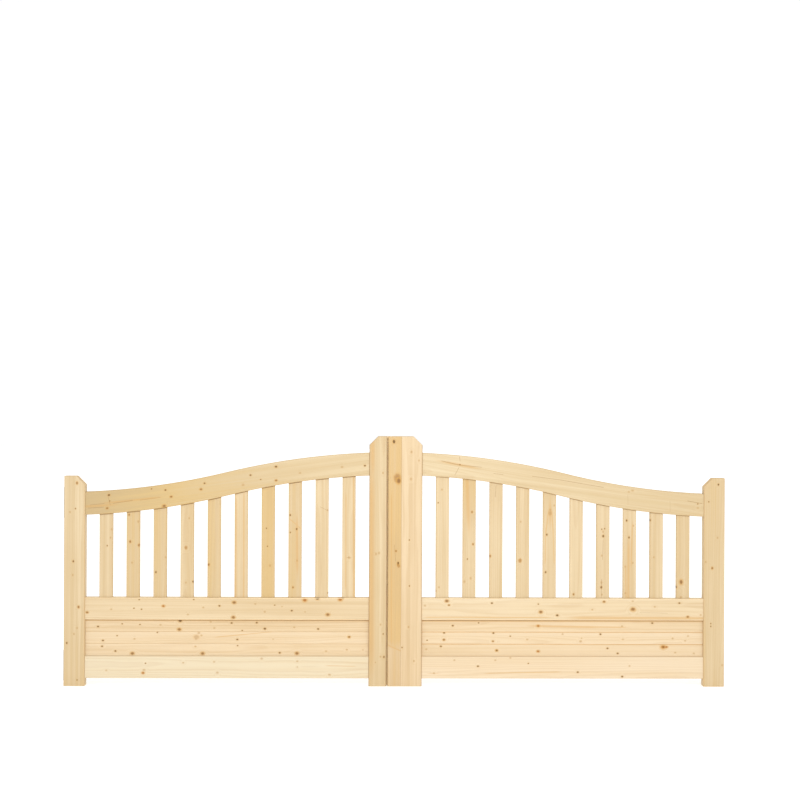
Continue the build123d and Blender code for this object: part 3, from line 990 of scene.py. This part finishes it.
def timber_finish(piece, grain):
    """Planed spruce for one piece: growth rings, bands, fibres, its own knots, streaks and cracks, and
    painted light and shade.
    """
    plank = Plank(piece, grain)
    knots = plank.knots()
    late = plank.late_wood(knots)
    colour = plank.resin_and_shadow_streaks(plank.plain_wood(late))
    colour, hearts = plank.knotted(colour, knots)
    # Drying cracks, and the painted shadow along the top boards under the middle rails
    crack_and_shadow_lines = plank.streak_reach(CRACK_AND_SHADOW)
    if crack_and_shadow_lines is not None:
        colour = plank.thin_line(colour, crack_and_shadow_lines, *CRACK_AND_SHADOW_LOOK)
    # Painted shadow: the swan neck's shade along each baluster's top
    if "baluster" in piece:
        colour = plank.thin_line(colour, plank.swan_neck_shadow_reach(), *SWAN_NECK_SHADOW_LOOK)
    # Painted light and shade on the eased edges
    colour = plank.arrises(colour)
    # Painted light over the shade in the rebate
    if piece == "left_meeting_stile":
        colour = plank.rebate(colour)
    end_grain = plank.along(plank.facing, grain).size().step(*END_GRAIN_EDGE)
    least, more = END_GRAIN_DEPTH
    colour = plank.mix(end_grain * (least + late * more), colour, plank.tone("late_wood"))

    dullness = bpy.context.scene.gate_timber.roughness
    plank.feed("Base Color", colour)
    plank.feed("Roughness", dullness + plank.fibre * 0.12 - hearts * 0.15 + end_grain * 0.2)
    plank.feed("IOR", 1.45)
    plank.bump(late * 0.3 + plank.fibre * 0.3 - hearts * 0.35 + end_grain * plank.fibre, *RELIEF)
    return plank.material


def zinc_finish():
    """Bright zinc plated steel with a faint spangle."""
    irons = bpy.context.scene.gate_irons
    finish = Finish("zinc_plate")
    place = finish.node("ShaderNodeTexCoord").outputs["Object"]
    spangle = finish.node("ShaderNodeTexVoronoi", {"feature": "F1"}, {"Vector": place, "Scale": SPANGLES})
    grey = finish.first_channel(spangle.outputs["Color"])
    cloud = finish.noise(place, ZINC_CLOUDS, 3.0, 0.6)
    zinc = Vector(irons.zinc)
    colour = finish.mix(grey * 0.5 + cloud * 0.5, tuple(zinc * 0.8), tuple(zinc * 1.12))
    finish.feed("Base Color", colour)
    finish.feed("Metallic", 0.9)
    finish.feed("Roughness", 0.32 + grey * 0.12 + cloud * 0.12)
    finish.bump(cloud, *ZINC_RELIEF)
    return finish.material


def settled(source, name, easing):
    """A copy of a CAD piece's mesh with its edges eased, as a new object."""
    made = bpy.data.objects.new(name, source.data.copy())
    bpy.context.scene.collection.objects.link(made)
    weld = made.modifiers.new("weld", "WELD")
    weld.merge_threshold = WELD_DISTANCE
    flat = made.modifiers.new("flat", "DECIMATE")
    flat.decimate_type = "DISSOLVE"
    flat.angle_limit = FLAT_ANGLE
    bevel = made.modifiers.new("easing", "BEVEL")
    bevel.width = easing
    bevel.segments = EASING_STEPS
    bevel.limit_method = "ANGLE"
    bevel.angle_limit = SHARP_ANGLE
    bevel.use_clamp_overlap = True
    evaluated = made.evaluated_get(bpy.context.evaluated_depsgraph_get())
    mesh = bpy.data.meshes.new_from_object(evaluated)
    made.modifiers.clear()
    made.data = mesh
    mesh.materials.clear()
    for face in mesh.polygons:
        face.use_smooth = True
    weighted = made.modifiers.new("shading", "WEIGHTED_NORMAL")
    weighted.keep_sharp = False
    return made


def dress(node, name, easing, material):
    """Stands an eased, finished copy in for one CAD piece."""
    piece = settled(frame["nodes"][node], name, easing)
    piece.data.materials.append(material)
    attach(piece, body_named(node))
    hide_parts(node)


def dress_timber(node, grain):
    """Planed timber with sanded edges, in place of one timber piece."""
    easing = bpy.context.scene.gate_timber.easing
    dress(node, f"planed_{node}", easing, timber_finish(node, grain))


def dress_iron(node, finish):
    """Plated steel with rolled edges, in place of one steel piece."""
    edge_roll = bpy.context.scene.gate_irons.edge_roll
    dress(node, f"plated_{node}", edge_roll, finish)


def body_named(node):
    """The body that carries a node."""
    bodies = frame["record"]["behaviour"]["bodies"]
    return next(body for body, nodes in bodies.items() if node in nodes)


class GATE_OT_stiles(Operator):
    """Finish the stiles and the closing strip"""

    bl_idname = "gate.stiles"
    bl_label = "Finish stiles"

    def execute(self, context):
        for side in SIDES:
            dress_timber(f"{side}_hanging_stile", UP)
            dress_timber(f"{side}_meeting_stile", UP)
        dress_timber("right_closing_strip", UP)
        return {"FINISHED"}


class GATE_OT_rails(Operator):
    """Finish the level rails and the swan-neck top rails"""

    bl_idname = "gate.rails"
    bl_label = "Finish rails"

    def execute(self, context):
        for side in SIDES:
            dress_timber(f"{side}_middle_rail", LEVEL)
            dress_timber(f"{side}_bottom_rail", LEVEL)
            dress_timber(f"{side}_top_rail", self.lean(side))
        return {"FINISHED"}

    def lean(self, side):
        """The plank's own direction, from the low end of the swan neck to the high end."""
        low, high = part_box(f"{side}_top_rail")
        rise = PLANK_LEAN * (high.z - low.z)
        up_to_right = 1 if side == "left" else -1
        return Vector((high.x - low.x, 0, rise * up_to_right)).normalized()


class GATE_OT_balusters(Operator):
    """Finish the balusters"""

    bl_idname = "gate.balusters"
    bl_label = "Finish balusters"

    def execute(self, context):
        for side in SIDES:
            for number in range(1, BALUSTERS + 1):
                dress_timber(f"{side}_baluster_{number:02d}", UP)
        return {"FINISHED"}


class GATE_OT_boards(Operator):
    """Finish the panel boards"""

    bl_idname = "gate.boards"
    bl_label = "Finish boards"

    def execute(self, context):
        for side in SIDES:
            for number in range(1, BOARDS + 1):
                dress_timber(f"{side}_panel_board_{number}", LEVEL)
        return {"FINISHED"}


class GATE_OT_hinges(Operator):
    """Finish the strap hinges and pintles, and drive the coach screws"""

    bl_idname = "gate.hinges"
    bl_label = "Finish hinges"

    def execute(self, context):
        finish = zinc_finish()
        for side in SIDES:
            for level in LEVELS:
                dress_iron(f"{side}_{level}_pintle", finish)
                strap = f"{side}_{level}_strap_hinge"
                dress_iron(strap, finish)
                self.screws(strap, finish)
        return {"FINISHED"}

    def screws(self, strap, finish):
        """A row of coach screws along a strap, as one piece."""
        irons = bpy.context.scene.gate_irons
        low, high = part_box(strap)
        from_eye = 1 if strap.startswith("left") else -1
        eye_x = low.x if from_eye > 0 else high.x
        last = (high.x - low.x) - LAST_SCREW
        face_y = low.y + irons.strap_thickness
        height = (low.z + high.z) / 2
        corners = []
        faces = []
        for number in range(SCREWS_PER_STRAP):
            place = FIRST_SCREW + (last - FIRST_SCREW) * number / (SCREWS_PER_STRAP - 1)
            centre = (eye_x + from_eye * place, face_y, height)
            turn = random.Random(f"{strap}{number}").uniform(0, math.tau)
            self.lathe(corners, faces, centre, WASHER_SIDES, 0, self.washer())
            self.lathe(corners, faces, centre, HEAD_SIDES, turn, self.head())
        mesh = bpy.data.meshes.new(f"coach_screws_{strap}")
        mesh.from_pydata(corners, [], faces)
        mesh.validate()
        screws = bpy.data.objects.new(f"coach_screws_{strap}", mesh)
        bpy.context.scene.collection.objects.link(screws)
        mesh.materials.append(finish)
        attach(screws, body_named(strap))

    def washer(self):
        """Profile of a washer, as (radius, height) from its foot to its middle."""
        irons = bpy.context.scene.gate_irons
        radius = irons.washer_radius
        top = irons.washer_height
        roll_start, roll_width = WASHER_ROLL
        return (radius, 0.0), (radius, top * roll_start), (radius * roll_width, top), (0.0, top)

    def head(self):
        """Profile of a six-sided head on its washer."""
        irons = bpy.context.scene.gate_irons
        radius = irons.head_width / math.sqrt(3)
        foot = irons.washer_height
        top = foot + irons.head_height
        return (radius, foot), (radius, top - HEAD_CHAMFER), (radius * HEAD_TOP, top), (0.0, top)

    def lathe(self, corners, faces, centre, sides, turn, profile):
        """Turns a profile of (radius, height) about the +Y direction at a centre."""
        start = len(corners)
        for radius, height in profile:
            for step in range(sides):
                angle = turn + math.tau * step / sides
                corners.append((
                    centre[0] + radius * math.cos(angle),
                    centre[1] + height,
                    centre[2] + radius * math.sin(angle)))
        for ring in range(len(profile) - 1):
            for step in range(sides):
                here = start + ring * sides + step
                beside = start + ring * sides + (step + 1) % sides
                faces.append((here, here + sides, beside + sides, beside))


class GATE_OT_studio(Operator):
    """Lay the floor and set the lights and the camera"""

    bl_idname = "gate.studio"
    bl_label = "Set up studio"

    def execute(self, context):
        self.floor()
        self.sky()
        self.key()
        self.camera()
        context.scene.view_settings.view_transform = "Standard"
        return {"FINISHED"}

    def floor(self):
        """A wide pale floor under the gate."""
        finish = Finish("pale_floor")
        place = finish.node("ShaderNodeTexCoord").outputs["Object"]
        cloud = finish.noise(place, 0.6, 2.0, 0.5)
        finish.feed("Base Color", finish.mix(cloud, (0.90, 0.90, 0.90), (0.93, 0.93, 0.93)))
        finish.feed("Roughness", 0.9)
        finish.feed("Emission Color", WHITE)
        finish.feed("Emission Strength", FLOOR_GLOW)
        mesh = bpy.data.meshes.new("floor")
        ways = ((-1, -1), (1, -1), (1, 1), (-1, 1))
        corners = [(MIDDLE_X + x * FLOOR_REACH, y * FLOOR_REACH, GROUND) for x, y in ways]
        mesh.from_pydata(corners, [], [(0, 1, 2, 3)])
        mesh.materials.append(finish.material)
        floor = bpy.data.objects.new("floor", mesh)
        bpy.context.scene.collection.objects.link(floor)

    def sky(self):
        """Plain white surroundings."""
        world = bpy.data.worlds.new("studio")
        world.use_nodes = True
        back = world.node_tree.nodes["Background"]
        back.inputs["Color"].default_value = (*WHITE, 1.0)
        back.inputs["Strength"].default_value = bpy.context.scene.gate_studio.sky
        bpy.context.scene.world = world

    def key(self):
        """One broad soft light in front and above."""
        studio = bpy.context.scene.gate_studio
        data = bpy.data.lights.new("key", "AREA")
        data.shape = "RECTANGLE"
        data.size, data.size_y = KEY_SIZE
        data.energy = studio.key_power
        light = bpy.data.objects.new("key", data)
        foot = Vector((MIDDLE_X, GATE_FRONT, GROUND))
        light.location = foot + KEY_PLACE
        aim = foot + KEY_AIM - light.location
        light.rotation_euler = aim.to_track_quat("-Z", "Y").to_euler()
        bpy.context.scene.collection.objects.link(light)

    def camera(self):
        """Square on to the gate, as in the picture."""
        studio = bpy.context.scene.gate_studio
        data = bpy.data.cameras.new("camera")
        data.lens = studio.lens
        data.sensor_width = SENSOR_WIDTH
        camera = bpy.data.objects.new("camera", data)
        camera.location = (MIDDLE_X + studio.offset, GATE_FRONT - studio.distance, GROUND + studio.height)
        camera.rotation_euler = camera_turn().to_euler()
        bpy.context.scene.collection.objects.link(camera)
        bpy.context.scene.camera = camera


class GATE_PT_panel(Panel):
    """Lists the gate's sizes, colours and steps"""

    bl_idname = "GATE_PT_panel"
    bl_label = "Driveway gate"
    bl_space_type = "VIEW_3D"
    bl_region_type = "UI"
    bl_category = "Gate"

    def draw(self, context):
        layout = self.layout
        for title, group in (
            ("Timber", context.scene.gate_timber),
            ("Ironmongery", context.scene.gate_irons),
            ("Studio", context.scene.gate_studio),
        ):
            box = layout.box()
            box.label(text=title)
            for name in group.bl_rna.properties.keys():
                if name not in ("rna_type", "name"):
                    box.prop(group, name)
        for step in STEPS:
            layout.operator(step.bl_idname)


GROUPS = (TimberSettings, IronmongerySettings, StudioSettings)
STEPS = (
    GATE_OT_stiles, GATE_OT_rails, GATE_OT_balusters, GATE_OT_boards, GATE_OT_hinges, GATE_OT_studio,
)


def register():
    for made in (*GROUPS, *STEPS, GATE_PT_panel):
        bpy.utils.register_class(made)
    bpy.types.Scene.gate_timber = PointerProperty(type=TimberSettings)
    bpy.types.Scene.gate_irons = PointerProperty(type=IronmongerySettings)
    bpy.types.Scene.gate_studio = PointerProperty(type=StudioSettings)


def unregister():
    del bpy.types.Scene.gate_studio
    del bpy.types.Scene.gate_irons
    del bpy.types.Scene.gate_timber
    for made in (GATE_PT_panel, *reversed(STEPS), *reversed(GROUPS)):
        bpy.utils.unregister_class(made)


def main():
    register()
    bpy.ops.gate.stiles()
    bpy.ops.gate.rails()
    bpy.ops.gate.balusters()
    bpy.ops.gate.boards()
    bpy.ops.gate.hinges()
    bpy.ops.gate.studio()


if __name__ == "__main__":
    main()
